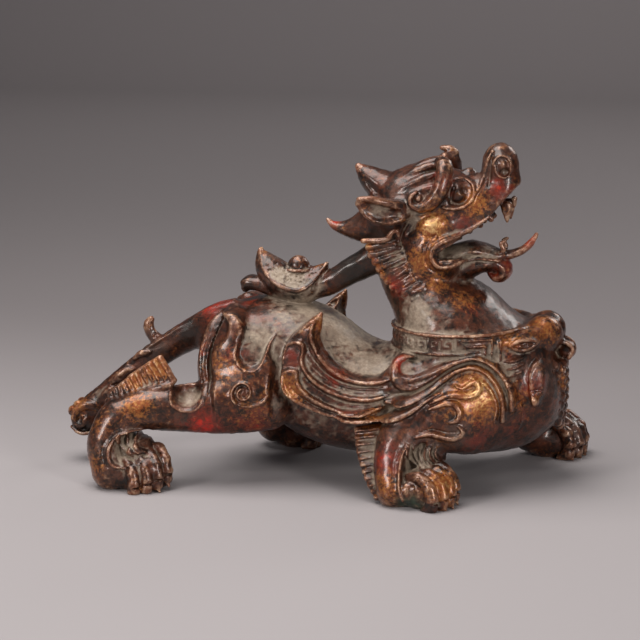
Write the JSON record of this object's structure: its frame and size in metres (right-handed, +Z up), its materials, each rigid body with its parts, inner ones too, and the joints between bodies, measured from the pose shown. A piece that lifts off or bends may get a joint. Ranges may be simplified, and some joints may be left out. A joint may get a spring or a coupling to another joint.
{
  "type": "pixiu figure",
  "caption": "Cast bronze pixiu prowling with its head thrown up, wings folded and an ingot on its back.",
  "frame": {"origin": "middle of the figure's outline, on the surface that the four paws stand on", "axes": "+X along the body towards the chest and head, +Y towards the figure's left side, +Z up"},
  "size_m": [0.3001, 0.1662, 0.1925],
  "materials": {
    "bronze": "dark brown patinated bronze with worn red and gold lacquer on the raised carving and grey dust in the hollows"
  },
  "bodies": {
    "root": {"pixiu": "bronze"}
  },
  "joints": []
}
